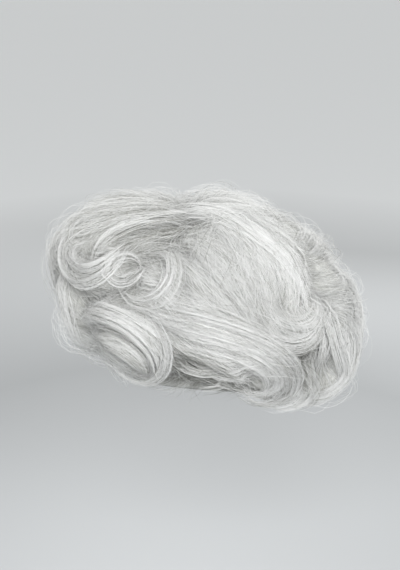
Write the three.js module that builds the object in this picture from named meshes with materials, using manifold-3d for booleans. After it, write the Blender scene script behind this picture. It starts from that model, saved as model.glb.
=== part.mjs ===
// A silver-grey curled wig: a fitted cap that a head goes into, and six layered sections of hair on it.
// Millimetres and degrees, +Z up. The origin is the inside of the cap's crown, where the top of the head
// sits. The face looks along -Y, and the wearer's left is +X.
import * as THREE from "three";
import { mergeVertices } from "three/addons/utils/BufferGeometryUtils.js";
import Module from "manifold-3d";

const wasm = await Module();
wasm.setup();

// Head and cap
const HEAD_HALF_WIDTH = 76;
const HEAD_HALF_LENGTH = 97;
const HEAD_HALF_HEIGHT = 88;
const CAP_WALL = 2;
const CAP_COLUMNS = 28;
const CAP_ROWS = 8;

// Hair
const HAIR_CENTRE = new THREE.Vector3(0, 15, -55); // every hair radius is measured from here
const SEAT_GAP = 2.8; // from the cap to the corners of a backing, whose flats lie nearer
const LAYER_GAP = 0.8; // between one hair section and the next
const BACKING_DEPTH = 13; // how far the backing lies below the hair's outline
const LOCK_SINK = 6; // how far a lock's middle lies below the outline when its lift is 0
const ROOT_SINK = 9; // how much deeper the root of a lock starts
const FUSE_DEPTH = 7; // how far the foot of a lock goes into the backing
const LOCK_STEP = 23;
const BACKING_STEP = 16; // degrees
const CUT_SMOOTHING = 0.2; // how far a face may move when slivers left by a cut are merged
const SAME_POINT = 1e-4; // points nearer than this are one point

// How full a lock is, as shares of its length and of its full width and depth.
const ROOT_FULLNESS = 0.45;
const ROOT_END = 0.25;
const TIP_START = 0.55;
const TIP_LOSS = 0.7;

// Azimuth is 0 at the face, 90 at the wearer's left, 180 at the back; elevation is above the hair's centre.
// The cap's rim, as the angle from the crown down to the edge: a high forehead, a tab before each ear, an
// arch over the ear and a low nape. Evenly spaced from the face to the back, and the same on both sides.
const CAP_RIM = [70, 76, 98, 112, 98, 116, 126, 130];

// The hair's outline: its radius at each azimuth, for elevations from -60 to 90 in steps of 30.
const OUTLINE_STEP = 30;
const OUTLINE_LOW = -60;
const OUTLINE = table(["azimuth", "at_m60", "at_m30", "at_0", "at_30", "at_60", "at_90"], [
  [0, 120, 138, 152, 171, 125, 115],
  [45, 112, 126, 142, 147, 121, 115],
  [90, 100, 122, 124, 125, 118, 115],
  [135, 125, 150, 145, 126, 111, 115],
  [180, 140, 174, 160, 127, 107, 115],
  [225, 125, 150, 145, 126, 111, 115],
  [270, 100, 122, 124, 125, 118, 115],
  [315, 112, 126, 142, 147, 121, 115],
]);

// The lower edge of the hair, as elevations at those azimuths: on the outside, and against the head.
const LOWER_EDGE = table(["azimuth", "outside", "inside"], [
  [0, -21, -27],
  [45, -16, -36],
  [90, -16, -44],
  [135, -25, -52],
  [180, -38, -58],
  [225, -25, -52],
  [270, -16, -44],
  [315, -16, -36],
]);

// A lock starts at an azimuth and elevation on the outline, sets off at a heading (0 down, 90 towards the
// back on the left side), turns evenly by sway over its length and by curl towards its tip. Lift is its
// height over the outline as far as halfway along, and tip its height at the end.
const LOCK_COLUMNS = [
  "azimuth", "elevation", "heading", "length", "sway", "curl", "width", "depth", "lift", "tip",
];

const CROWN_LOCKS = table(LOCK_COLUMNS, [
  [160, 85, 12, 125, -30, 0, 40, 16, 4, 0],
  [100, 82, 62, 152, -42, 0, 40, 16, 5, 1],
  [70, 74, 82, 145, -38, 0, 38, 16, 5, 1],
  [72, 64, 72, 135, -28, 0, 34, 16, 4, 1],
  [73, 57, 66, 128, -16, 0, 32, 15, 4, 1],
  [205, 84, -12, 125, 26, 0, 40, 16, 2, -2],
  [262, 80, -62, 155, 45, 0, 40, 16, 3, 0],
  [288, 70, -78, 142, 40, 0, 38, 16, 5, 1],
  [287, 58, -68, 130, 22, 0, 34, 15, 4, 1],
  [44, 76, -40, 150, 25, 0, 36, 15, 3, 2],
  [10, 72, -12, 135, 30, 0, 38, 15, 1, 1],
  [330, 68, 20, 135, -20, 0, 38, 15, 1, 1],
  [300, 66, 30, 130, -15, 0, 36, 15, 1, 1],
]);

const LEFT_LOCKS = table(LOCK_COLUMNS, [
  [60, 43, 108, 110, -222, 0, 20, 15, 7, 3],
  [72, 44, 60, 140, -12, 0, 32, 14, 3, 1],
  [121, 20, 8, 92, 148, 0, 24, 15, 7, 3],
  [116, 14, 15, 106, 138, 0, 24, 15, 7, 3],
  [57, 20, 102, 170, -40, 25, 30, 15, 4, 1],
  [53, 16, 92, 272, -10, -172, 30, 15, 5, 1],
  [70, 11, 75, 178, 16, -175, 30, 15, 4, 1],
  [71, 5, 70, 112, 16, -110, 22, 14, 3, 1],
]);

const FRINGE_LOCKS = table(LOCK_COLUMNS, [
  [27, 40, -52, 136, 250, 0, 17, 15, 6, 2],
  [37, 6, 130, 125, -95, 0, 23, 15, 6, 1],
  [32, 1, 136, 165, -115, -95, 23, 15, 6, 1],
  [39, -3, 128, 98, -125, -50, 21, 15, 5, 1],
  [2, 34, 20, 140, -70, 60, 34, 15, 5, 1],
  [344, 32, 10, 140, -60, 60, 34, 15, 5, 1],
  [18, 22, 40, 110, -60, 0, 30, 15, 5, 1],
  [6, 2, 40, 100, -110, -40, 30, 15, 4, 1],
  [336, 6, 10, 105, 60, 60, 30, 15, 4, 1],
  [322, 30, -30, 130, 60, 60, 30, 15, 5, 1],
  [324, 4, -105, 125, 105, 60, 30, 15, 6, 1],
]);

const BACK_LOCKS = table(LOCK_COLUMNS, [
  [184, 58, -5, 66, -30, 0, 36, 18, 13, 6],
  [166, 38, 10, 112, -52, 0, 36, 18, 12, 4],
  [204, 38, -12, 112, 55, 0, 36, 18, 11, 4],
  [182, 22, 25, 130, -90, -40, 34, 18, 6, 2],
  [226, 30, -5, 100, 50, 0, 32, 16, 5, 2],
  [155, 7, 50, 145, -120, -40, 34, 18, 7, 2],
  [206, 12, -30, 130, 110, 40, 34, 18, 7, 2],
  [180, 0, -15, 100, 80, 30, 32, 17, 5, 2],
]);

const NAPE_LOCKS = table(LOCK_COLUMNS, [
  [140, -14, 20, 70, -90, 0, 36, 16, 4, 1],
  [164, -16, 10, 80, -90, 0, 38, 16, 4, 1],
  [190, -15, -20, 85, 90, 0, 38, 16, 4, 1],
  [216, -14, 15, 70, 80, 0, 36, 16, 4, 1],
]);

// The top of a lock's section, as shares of its width and depth: a low dome, whose edges run down.
const LOCK_SECTION = table(["across", "height"], [
  [-0.38, 0.25],
  [0, 0.5],
  [0.38, 0.25],
]);

// Hair sections from the top layer down: each is a backing over a patch of the cap, fused with its locks.
const EDGE = null; // the patch runs down to the lower edge of the hair
const SECTIONS = [
  { name: "crown_hair", azimuth: [0, 360], elevation: [52, 90], locks: CROWN_LOCKS },
  { name: "left_hair", azimuth: [42, 128], elevation: [EDGE, 52], locks: LEFT_LOCKS },
  { name: "right_hair", azimuth: [232, 318], elevation: [EDGE, 52], locks: mirrored(LEFT_LOCKS) },
  { name: "fringe_hair", azimuth: [-42, 42], elevation: [EDGE, 52], locks: FRINGE_LOCKS },
  { name: "back_hair", azimuth: [128, 232], elevation: [-9, 52], locks: BACK_LOCKS },
  { name: "nape_hair", azimuth: [128, 232], elevation: [EDGE, -9], locks: NAPE_LOCKS },
];

const CAP_MATERIAL = new THREE.MeshStandardMaterial({ color: 0xb9b5ac, roughness: 0.9, metalness: 0 });
const HAIR_MATERIAL = new THREE.MeshStandardMaterial({ color: 0xcdcecb, roughness: 0.55, metalness: 0 });

// Rows of numbers as objects with named fields.
function table(columns, rows) {
  return rows.map((row) => Object.fromEntries(columns.map((column, i) => [column, row[i]])));
}

// The same locks on the other side of the head.
function mirrored(locks) {
  return locks.map((lock) => ({
    ...lock,
    azimuth: 360 - lock.azimuth,
    heading: -lock.heading,
    sway: -lock.sway,
    curl: -lock.curl,
  }));
}

// A smooth curve through four evenly spaced values, between the middle two.
function smooth(a, b, c, d, t) {
  return 0.5 * (2 * b + (c - a) * t + (2 * a - 5 * b + 4 * c - d) * t * t + (3 * b - a - 3 * c + d) * t ** 3);
}

// A closed ring of evenly spaced values, read at a place counted in steps.
function around(values, place) {
  const i = Math.floor(place);
  const at = (k) => values[(((i + k) % values.length) + values.length) % values.length];
  return smooth(at(-1), at(0), at(1), at(2), place - i);
}

function direction(azimuth, elevation) {
  const a = THREE.MathUtils.degToRad(azimuth);
  const e = THREE.MathUtils.degToRad(elevation);
  return new THREE.Vector3(Math.sin(a) * Math.cos(e), -Math.cos(a) * Math.cos(e), Math.sin(e));
}

function azimuthOf(d) {
  return THREE.MathUtils.radToDeg(Math.atan2(d.x, -d.y));
}

// The radius of the hair's outline along a direction.
function outlineRadius(d) {
  const elevation = THREE.MathUtils.radToDeg(Math.asin(THREE.MathUtils.clamp(d.z, -1, 1)));
  const columns = Object.keys(OUTLINE[0]).slice(1);
  const last = columns.length - 1;
  const level = THREE.MathUtils.clamp((elevation - OUTLINE_LOW) / OUTLINE_STEP, 0, last);
  const j = Math.min(Math.floor(level), last - 1);
  const place = azimuthOf(d) / (360 / OUTLINE.length);
  const ring = (k) => {
    const column = columns[THREE.MathUtils.clamp(k, 0, last)];
    return around(OUTLINE.map((row) => row[column]), place);
  };
  return smooth(ring(j - 1), ring(j), ring(j + 1), ring(j + 2), level - j);
}

function lowerEdge(azimuth, column) {
  return around(LOWER_EDGE.map((row) => row[column]), azimuth / (360 / LOWER_EDGE.length));
}

// Where a ray from the hair's centre leaves the head, grown by a margin.
function headPoint(azimuth, elevation, margin) {
  const size = new THREE.Vector3(HEAD_HALF_WIDTH, HEAD_HALF_LENGTH, HEAD_HALF_HEIGHT).addScalar(margin);
  const from = HAIR_CENTRE.clone().sub(new THREE.Vector3(0, 0, -HEAD_HALF_HEIGHT)).divide(size);
  const way = direction(azimuth, elevation).divide(size);
  const a = way.dot(way);
  const b = from.dot(way);
  const distance = (Math.sqrt(b * b - a * (from.dot(from) - 1)) - b) / a;
  return direction(azimuth, elevation).multiplyScalar(distance).add(HAIR_CENTRE);
}

// A closed solid from triangles given as points. Reversing the order of all corners turns its faces outwards.
function solidFrom(points) {
  const loose = new THREE.BufferGeometry().setFromPoints(points);
  const merged = mergeVertices(loose, SAME_POINT);
  const index = merged.index.array;
  const triangles = [];
  for (let i = 0; i < index.length; i += 3) {
    const [a, b, c] = [index[i], index[i + 1], index[i + 2]];
    if (a !== b && b !== c && c !== a) triangles.push(a, b, c);
  }
  const vertProperties = merged.attributes.position.array;
  const made = (corners) =>
    new wasm.Manifold(new wasm.Mesh({ numProp: 3, vertProperties, triVerts: new Uint32Array(corners) }));
  const solid = made(triangles);
  return solid.volume() > 0 ? solid : made(triangles.reverse());
}

function quad(out, a, b, c, d) {
  out.push(a, b, c, a, c, d);
}

// A wall between two grids of points, outer[i][j] and inner[i][j]; i goes round and j goes up.
// A closed wall joins its last column to its first, and a pole is a top row that is one point.
function wallSolid(outer, inner, closed, pole) {
  const out = [];
  const columns = outer.length;
  const top = outer[0].length - 1;
  const spans = closed ? columns : columns - 1;
  for (let i = 0; i < spans; i++) {
    const n = (i + 1) % columns;
    for (let j = 0; j < top; j++) {
      quad(out, outer[i][j], outer[n][j], outer[n][j + 1], outer[i][j + 1]);
      quad(out, inner[i][j + 1], inner[n][j + 1], inner[n][j], inner[i][j]);
    }
    quad(out, inner[i][0], inner[n][0], outer[n][0], outer[i][0]);
    if (!pole) quad(out, outer[i][top], outer[n][top], inner[n][top], inner[i][top]);
  }
  if (!closed) {
    const end = columns - 1;
    for (let j = 0; j < top; j++) {
      quad(out, inner[0][j], outer[0][j], outer[0][j + 1], inner[0][j + 1]);
      quad(out, outer[end][j], inner[end][j], inner[end][j + 1], outer[end][j + 1]);
    }
  }
  return solidFrom(out);
}

function spread(from, to, count) {
  return Array.from({ length: count + 1 }, (_, i) => from + ((to - from) * i) / count);
}

// The cap: an even wall over the head, from the crown down to its rim.
function capSolid() {
  const azimuths = spread(0, 360, CAP_COLUMNS).slice(0, -1);
  const grid = (margin) =>
    azimuths.map((azimuth) => {
      const fromFace = Math.abs(azimuth > 180 ? azimuth - 360 : azimuth);
      const place = (fromFace / 180) * (CAP_RIM.length - 1);
      const i = Math.min(Math.floor(place), CAP_RIM.length - 2);
      const at = (k) => CAP_RIM[THREE.MathUtils.clamp(i + k, 0, CAP_RIM.length - 1)];
      const rim = smooth(at(-1), at(0), at(1), at(2), place - i);
      return spread(rim, 0, CAP_ROWS).map((angle) => {
        const d = direction(azimuth, 90 - angle);
        return new THREE.Vector3(
          d.x * (HEAD_HALF_WIDTH + margin),
          d.y * (HEAD_HALF_LENGTH + margin),
          d.z * (HEAD_HALF_HEIGHT + margin) - HEAD_HALF_HEIGHT,
        );
      });
    });
  return wallSolid(grid(CAP_WALL), grid(0), true, true);
}

// The backing of a hair section, grown all round by grow.
function backingSolid(section, grow) {
  const [az0, az1] = section.azimuth;
  const closed = az1 - az0 === 360;
  const margin = THREE.MathUtils.radToDeg((LAYER_GAP - grow) / HEAD_HALF_WIDTH);
  const further = THREE.MathUtils.radToDeg(grow / HEAD_HALF_WIDTH);
  const columns = Math.ceil((az1 - az0) / BACKING_STEP);
  const inset = closed ? 0 : margin;
  const whole = spread(az0 + inset, az1 - inset, columns);
  const azimuths = closed ? whole.slice(0, -1) : whole;
  const [low, high] = section.elevation;
  const pole = high === 90;
  const top = pole ? high : high - margin;
  const bottom = (azimuth, column) => (low === EDGE ? lowerEdge(azimuth, column) - further : low + margin);
  const rows = Math.ceil((top - bottom((az0 + az1) / 2, "inside")) / BACKING_STEP);
  const outer = azimuths.map((azimuth) =>
    spread(bottom(azimuth, "outside"), top, rows).map((elevation) => {
      const d = direction(azimuth, elevation);
      return d.multiplyScalar(outlineRadius(d) - BACKING_DEPTH + grow).add(HAIR_CENTRE);
    }),
  );
  const inner = azimuths.map((azimuth) =>
    spread(bottom(azimuth, "inside"), top, rows).map((elevation) =>
      headPoint(azimuth, elevation, CAP_WALL + SEAT_GAP - grow),
    ),
  );
  return wallSolid(outer, inner, closed, pole);
}

// How full a lock is along its length: narrow at the root, full in the middle, fine at the tip.
function fullness(s) {
  const root = ROOT_FULLNESS + (1 - ROOT_FULLNESS) * Math.min(1, s / ROOT_END);
  const tip = 1 - TIP_LOSS * Math.max(0, (s - TIP_START) / (1 - TIP_START)) ** 2;
  return root * tip;
}

// The middle line of a lock: it rides over the outline, turning as its row says.
// Gives a point, a forward and an outward direction and the depth of its foot at each step.
function lockLine(lock, steps) {
  let d = direction(lock.azimuth, lock.elevation);
  const a = THREE.MathUtils.degToRad(lock.azimuth);
  const east = new THREE.Vector3(Math.cos(a), Math.sin(a), 0);
  const down = new THREE.Vector3().crossVectors(east, d);
  if (down.z > 0) down.negate();
  const h = THREE.MathUtils.degToRad(lock.heading);
  let forward = down.multiplyScalar(Math.cos(h)).addScaledVector(east, Math.sin(h));
  const turned = (s) => THREE.MathUtils.degToRad(lock.sway * s + lock.curl * s ** 4);
  const line = [];
  for (let k = 0; k <= steps; k++) {
    const s = k / steps;
    const rise = s < 0.5 ? lock.lift : lock.lift + (lock.tip - lock.lift) * (2 * s - 1) ** 2;
    const root = ROOT_SINK * Math.max(0, 1 - s / ROOT_END);
    const radius = outlineRadius(d) - LOCK_SINK + rise - root;
    const point = d.clone().multiplyScalar(radius).add(HAIR_CENTRE);
    const foot = BACKING_DEPTH + FUSE_DEPTH - LOCK_SINK + rise - root;
    line.push({ point, forward: forward.clone(), out: d.clone(), foot });
    forward.applyAxisAngle(d, turned(s + 1 / steps) - turned(s));
    const step = lock.length / steps / radius;
    const next = d.clone().multiplyScalar(Math.cos(step)).addScaledVector(forward, Math.sin(step));
    forward = forward.multiplyScalar(Math.cos(step)).addScaledVector(d, -Math.sin(step));
    d = next.normalize();
  }
  return line;
}

// A lock of hair: its section carried along its line down to its foot, grown all round by grow.
function lockSolid(lock, grow) {
  const steps = Math.max(5, Math.round(lock.length / LOCK_STEP));
  const line = lockLine(lock, steps);
  line[0].point.addScaledVector(line[0].forward, -grow);
  line[steps].point.addScaledVector(line[steps].forward, grow);
  const rings = line.map(({ point, forward, out, foot }, k) => {
    const side = new THREE.Vector3().crossVectors(forward, out).normalize();
    const full = fullness(k / steps);
    const at = (across, height) => point.clone().addScaledVector(side, across).addScaledVector(out, height);
    const edge = 0.5 * lock.width * full + grow;
    const dome = LOCK_SECTION.map(({ across, height }) =>
      at(across * lock.width * full + Math.sign(across) * grow, height * lock.depth * full + grow),
    );
    return [at(-edge, -foot - grow), ...dome, at(edge, -foot - grow)];
  });
  const sides = rings[0].length;
  const out = [];
  for (let i = 0; i < sides; i++) {
    const n = (i + 1) % sides;
    for (let k = 0; k < steps; k++) quad(out, rings[k][i], rings[k][n], rings[k + 1][n], rings[k + 1][i]);
    out.push(line[0].point, rings[0][n], rings[0][i]);
    out.push(line[steps].point, rings[steps][i], rings[steps][n]);
  }
  return solidFrom(out);
}

// One section of hair: its backing and its locks in one body.
function sectionSolid(section, grow) {
  return section.locks.reduce((made, lock) => made.add(lockSolid(lock, grow)), backingSolid(section, grow));
}

// The largest body of a solid, so that an end cut off by a neighbour, or a small void, is left out.
function largestBody(solid) {
  return solid.decompose().reduce((best, body) => (body.volume() > best.volume() ? body : best));
}

function meshOf(name, solid, material) {
  const { vertProperties, triVerts } = solid.getMesh();
  const geometry = new THREE.BufferGeometry();
  geometry.setAttribute("position", new THREE.BufferAttribute(vertProperties, 3));
  geometry.setIndex(new THREE.BufferAttribute(triVerts, 1));
  geometry.computeVertexNormals();
  const mesh = new THREE.Mesh(geometry, material);
  mesh.name = name;
  return mesh;
}

const wig = new THREE.Group();
wig.add(meshOf("cap", capSolid(), CAP_MATERIAL));

let above = null;
for (const section of SECTIONS) {
  const whole = sectionSolid(section, 0);
  const cut = above ? whole.subtract(above) : whole;
  wig.add(meshOf(section.name, largestBody(cut.simplify(CUT_SMOOTHING)), HAIR_MATERIAL));
  const grown = sectionSolid(section, LAYER_GAP);
  above = above ? above.add(grown) : grown;
}

export default wig;
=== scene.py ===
"""A silver-grey curled wig: a knitted net cap, layered masses of hair and the strands of their locks."""

import logging
import math
from dataclasses import dataclass
from enum import Enum

import bmesh
import bpy
import numpy as np
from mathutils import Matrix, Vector


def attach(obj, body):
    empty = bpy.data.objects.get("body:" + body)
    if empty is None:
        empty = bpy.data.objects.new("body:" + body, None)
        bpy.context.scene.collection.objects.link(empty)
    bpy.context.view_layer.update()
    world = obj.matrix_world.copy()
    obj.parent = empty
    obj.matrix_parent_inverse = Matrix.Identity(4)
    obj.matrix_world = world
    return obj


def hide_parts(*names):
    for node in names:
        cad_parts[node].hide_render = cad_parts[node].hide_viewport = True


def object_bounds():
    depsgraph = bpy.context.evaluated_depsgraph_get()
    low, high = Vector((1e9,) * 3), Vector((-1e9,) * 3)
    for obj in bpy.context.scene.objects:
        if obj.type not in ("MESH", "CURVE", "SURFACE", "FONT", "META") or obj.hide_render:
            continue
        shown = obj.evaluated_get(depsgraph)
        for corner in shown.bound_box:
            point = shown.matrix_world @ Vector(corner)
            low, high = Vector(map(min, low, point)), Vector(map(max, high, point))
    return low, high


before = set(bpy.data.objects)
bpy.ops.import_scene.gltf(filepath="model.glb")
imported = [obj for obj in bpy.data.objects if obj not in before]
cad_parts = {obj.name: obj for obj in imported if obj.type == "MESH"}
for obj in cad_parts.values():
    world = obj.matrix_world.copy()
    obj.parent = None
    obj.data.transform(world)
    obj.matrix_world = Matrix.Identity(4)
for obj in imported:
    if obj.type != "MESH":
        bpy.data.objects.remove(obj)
CAD_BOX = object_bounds()

log = logging.getLogger("wig")

MM = 0.001  # every hair size below is in millimetres, and meshes are in metres
WELD = 1e-6  # points nearer than this, in metres, are one
BODY = "root"

NOISE_MEAN = 0.5  # the middle of a noise pattern's values

Colour = tuple[float, float, float]
Input = bpy.types.NodeSocket | float | tuple[float, ...]
WHITE: Colour = (1.0, 1.0, 1.0)


def smooth(a: np.ndarray, b: np.ndarray, c: np.ndarray, d: np.ndarray, t: np.ndarray) -> np.ndarray:
    """A smooth cubic through four evenly spaced values, read at the share t between the middle two."""
    return 0.5 * (2 * b + (c - a) * t + (2 * a - 5 * b + 4 * c - d) * t**2 + (3 * b - a - 3 * c + d) * t**3)


def ease(value: np.ndarray, low: float, high: float) -> np.ndarray:
    """Goes from 0 at low to 1 at high along the cubic 3t² - 2t³, and is flat outside."""
    t = np.clip((value - low) / (high - low), 0, 1)
    return t * t * (3 - 2 * t)


def unit(vectors: np.ndarray) -> np.ndarray:
    """The vectors at length 1."""
    return vectors / np.linalg.norm(vectors, axis=-1, keepdims=True)


def direction(azimuth: np.ndarray, elevation: np.ndarray) -> np.ndarray:
    """Unit directions: azimuth 0 is the face (-Y), 90 the wearer's left (+X); elevation is above level."""
    a, e = np.radians(azimuth), np.radians(elevation)
    return np.stack([np.sin(a) * np.cos(e), -np.cos(a) * np.cos(e), np.sin(e) + 0 * a], axis=-1)


def azimuth_elevation(directions: np.ndarray) -> tuple[np.ndarray, np.ndarray]:
    """The azimuth and the elevation of unit directions, in degrees."""
    azimuth = np.degrees(np.arctan2(directions[..., 0], -directions[..., 1]))
    return azimuth, np.degrees(np.arcsin(np.clip(directions[..., 2], -1, 1)))


@dataclass(frozen=True)
class Outline:
    """The hair's outline: its radius round the hair's centre.

    Radii are given for azimuths 45 degrees apart, from the face to the wearer's left and on round, and for
    elevations 30 degrees apart. Between them the radius is a smooth curve both ways.
    """

    centre: tuple[float, float, float] = (0.0, 15.0, -55.0)
    lowest: float = -60.0
    step: float = 30.0
    face: tuple[float, ...] = (120, 138, 152, 171, 125, 115)
    temple: tuple[float, ...] = (112, 126, 142, 147, 121, 115)
    side: tuple[float, ...] = (100, 122, 124, 125, 118, 115)
    behind_ear: tuple[float, ...] = (125, 150, 145, 126, 111, 115)
    back: tuple[float, ...] = (140, 174, 160, 127, 107, 115)

    def radius(self, directions: np.ndarray) -> np.ndarray:
        """The outline's radius along unit directions.

        Args:
            directions: Unit vectors from the hair's centre, in the last axis.

        Returns:
            The radius in millimetres, with the last axis gone.
        """
        half = [self.face, self.temple, self.side, self.behind_ear, self.back]
        rings = np.array(half + half[-2:0:-1], float)
        azimuth, elevation = azimuth_elevation(directions)
        place = azimuth / (360 / len(rings))
        i = np.floor(place).astype(int)
        last = rings.shape[1] - 1
        level = np.clip((elevation - self.lowest) / self.step, 0, last)
        j = np.minimum(np.floor(level).astype(int), last - 1)

        def ring(k: int) -> np.ndarray:
            """The radius at this azimuth on the k-th elevation from the one below."""
            column = np.clip(j + k, 0, last)
            return smooth(*(rings[(i + n) % len(rings), column] for n in (-1, 0, 1, 2)), place - i)

        return smooth(ring(-1), ring(0), ring(1), ring(2), level - j)

    def points(self, directions: np.ndarray, height: np.ndarray) -> np.ndarray:
        """Points at a height over the outline along unit directions."""
        return np.array(self.centre) + directions * (self.radius(directions) + height)[..., None]


@dataclass(frozen=True)
class Head:
    """The space for the head: an ellipsoid whose top is the origin."""

    half_width: float = 76.0
    half_length: float = 97.0
    half_height: float = 88.0

    def grown(self, margin: float) -> np.ndarray:
        """The half sizes of the ellipsoid grown by a margin."""
        return np.array([self.half_width, self.half_length, self.half_height]) + margin

    def points(self, azimuth: np.ndarray, angle: np.ndarray, margin: float) -> np.ndarray:
        """Points on the grown ellipsoid by azimuth and by angle down from the crown."""
        return direction(azimuth, 90 - angle) * self.grown(margin) - np.array([0, 0, self.half_height])

    def seen_from(self, centre: np.ndarray, directions: np.ndarray, margin: float) -> np.ndarray:
        """Where rays from a point inside leave the grown ellipsoid: the larger root of the quadratic.

        Args:
            centre: Where the rays start.
            directions: Unit directions of the rays, in the last axis.
            margin: How far the ellipsoid is grown.

        Returns:
            One point for each ray.
        """
        size = self.grown(margin)
        start = (centre + np.array([0, 0, self.half_height])) / size
        way = directions / size
        a = (way * way).sum(-1)
        b = (way * start).sum(-1)
        distance = (np.sqrt(b * b - a * (start @ start - 1)) - b) / a
        return centre + directions * distance[..., None]


OUTLINE = Outline()
HEAD = Head()


def moved(out: np.ndarray, heading: np.ndarray, step: np.ndarray) -> np.ndarray:
    """Directions carried along headings by a length on the outline."""
    angle = (step / OUTLINE.radius(out))[:, None]
    return unit(out * np.cos(angle) + heading * np.sin(angle))


def turned(vectors: np.ndarray, about: np.ndarray, angle: np.ndarray) -> np.ndarray:
    """Tangent vectors turned about unit normals by angles in radians."""
    turn = angle[:, None]
    return vectors * np.cos(turn) + np.cross(about, vectors) * np.sin(turn)


@dataclass(frozen=True)
class Lock:
    """One lock of hair.

    It starts at an azimuth and elevation on the outline, sets off at a heading (0 down, 90 towards growing
    azimuth), turns evenly by sway over its length and by curl towards its tip. Lift is its height over the
    outline as far as halfway along, and tip its height at the end.
    """

    azimuth: float
    elevation: float
    heading: float
    length: float
    sway: float
    curl: float
    width: float
    depth: float
    lift: float
    tip: float

    def mirrored(self) -> "Lock":
        """The same lock on the other side of the head."""
        path = (360 - self.azimuth, self.elevation, -self.heading, self.length, -self.sway, -self.curl)
        return Lock(*path, self.width, self.depth, self.lift, self.tip)

    def turn(self) -> float:
        """How far the lock turns in all, in degrees."""
        return abs(self.sway) + abs(self.curl)


class LockGuide:
    """The line of a lock over the outline, sampled evenly, and its place as a share of the lock's length."""

    SAMPLES = 84
    REACH = 1.14
    CURL_POWER = 4
    SINK = 6.0
    ROOT_SINK = 9.0
    ROOT_END = 0.25
    ROOT_FULLNESS = 0.45
    TIP_START = 0.55
    TIP_LOSS = 0.7
    LEAST_FULLNESS = 0.12

    def __init__(self, lock: Lock) -> None:
        """Carries a direction and a heading over the outline in small steps.

        At each step the heading turns about the direction by the change in sway·s + curl·s⁴, and both
        then turn together by the step's length over the radius. Past the tip the turning goes on evenly.

        Args:
            lock: The lock to follow.
        """
        self.lock = lock
        share = np.linspace(0, self.REACH, self.SAMPLES + 1)
        past = np.maximum(share - 1, 0)
        curling = np.minimum(share, 1) ** self.CURL_POWER + self.CURL_POWER * past
        turning = np.radians(lock.sway * share + lock.curl * curling)
        out = direction(np.array(lock.azimuth), np.array(lock.elevation))
        a, h = math.radians(lock.azimuth), math.radians(lock.heading)
        east = np.array([math.cos(a), math.sin(a), 0])
        down = np.cross(east, out)
        down *= -np.sign(down[2])
        forward = down * math.cos(h) + east * math.sin(h)
        self.out = np.zeros((self.SAMPLES + 1, 3))
        self.forward = np.zeros_like(self.out)
        for k in range(self.SAMPLES + 1):
            self.out[k], self.forward[k] = out, forward
            if k == self.SAMPLES:
                break
            angle = turning[k + 1] - turning[k]
            forward = forward * math.cos(angle) + np.cross(out, forward) * math.sin(angle)
            step = lock.length * (share[k + 1] - share[k]) / float(OUTLINE.radius(out))
            ahead = out * math.cos(step) + forward * math.sin(step)
            forward = forward * math.cos(step) - out * math.sin(step)
            out = ahead / np.linalg.norm(ahead)

    def at(self, share: np.ndarray) -> tuple[np.ndarray, np.ndarray]:
        """The lock's line, read evenly between the samples.

        Args:
            share: Places along the lock as shares of its length.

        Returns:
            The outward and the sideways unit direction at each place.
        """
        place = np.clip(share / self.REACH, 0, 1) * self.SAMPLES
        i = np.minimum(place.astype(int), self.SAMPLES - 1)
        t = (place - i)[..., None]
        out = unit(self.out[i] * (1 - t) + self.out[i + 1] * t)
        forward = self.forward[i] * (1 - t) + self.forward[i + 1] * t
        return out, unit(np.cross(forward, out))

    def fullness(self, share: np.ndarray) -> np.ndarray:
        """How full the lock is: it grows evenly from the root, and a square takes it down to a fine tip.

        Args:
            share: Places along the lock as shares of its length.

        Returns:
            Shares of the lock's full width.
        """
        root = self.ROOT_FULLNESS + (1 - self.ROOT_FULLNESS) * np.minimum(1, share / self.ROOT_END)
        fade = np.maximum(0, (share - self.TIP_START) / (1 - self.TIP_START))
        return root * np.maximum(1 - self.TIP_LOSS * fade**2, self.LEAST_FULLNESS)

    def rise(self, share: np.ndarray) -> np.ndarray:
        """The lock's height: its lift as far as halfway, then on to its tip's by a square, sunk at the root.

        Args:
            share: Places along the lock as shares of its length.

        Returns:
            The height of the lock's middle over the outline.
        """
        late = np.maximum(0, 2 * share - 1)
        lift = self.lock.lift + (self.lock.tip - self.lock.lift) * np.minimum(late, 1) ** 2
        return lift - self.SINK - self.ROOT_SINK * np.maximum(0, 1 - share / self.ROOT_END)


def locks(*rows: tuple[float, ...]) -> tuple[Lock, ...]:
    """Locks from rows of their fields in order."""
    return tuple(Lock(*row) for row in rows)


CROWN_LOCKS = locks(
    (160, 85, 12, 125, -30, 0, 40, 16, 4, 0),
    (100, 82, 62, 152, -42, 0, 40, 16, 5, 1),
    (70, 74, 82, 145, -38, 0, 38, 16, 5, 1),
    (72, 64, 72, 135, -28, 0, 34, 16, 4, 1),
    (73, 57, 66, 128, -16, 0, 32, 15, 4, 1),
    (205, 84, -12, 125, 26, 0, 40, 16, 2, -2),
    (262, 80, -62, 155, 45, 0, 40, 16, 3, 0),
    (288, 70, -78, 142, 40, 0, 38, 16, 5, 1),
    (287, 58, -68, 130, 22, 0, 34, 15, 4, 1),
    (44, 76, -40, 150, 25, 0, 36, 15, 3, 2),
    (10, 72, -12, 135, 30, 0, 38, 15, 1, 1),
    (330, 68, 20, 135, -20, 0, 38, 15, 1, 1),
    (300, 66, 30, 130, -15, 0, 36, 15, 1, 1),
)
LEFT_LOCKS = locks(
    (60, 43, 108, 110, -222, 0, 20, 15, 7, 3),
    (72, 44, 60, 140, -12, 0, 32, 14, 3, 1),
    (121, 20, 8, 92, 148, 0, 24, 15, 7, 3),
    (116, 14, 15, 106, 138, 0, 24, 15, 7, 3),
    (57, 20, 102, 170, -40, 25, 30, 15, 4, 1),
    (53, 16, 92, 272, -10, -172, 30, 15, 5, 1),
    (70, 11, 75, 178, 16, -175, 30, 15, 4, 1),
    (71, 5, 70, 112, 16, -110, 22, 14, 3, 1),
)
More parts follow.
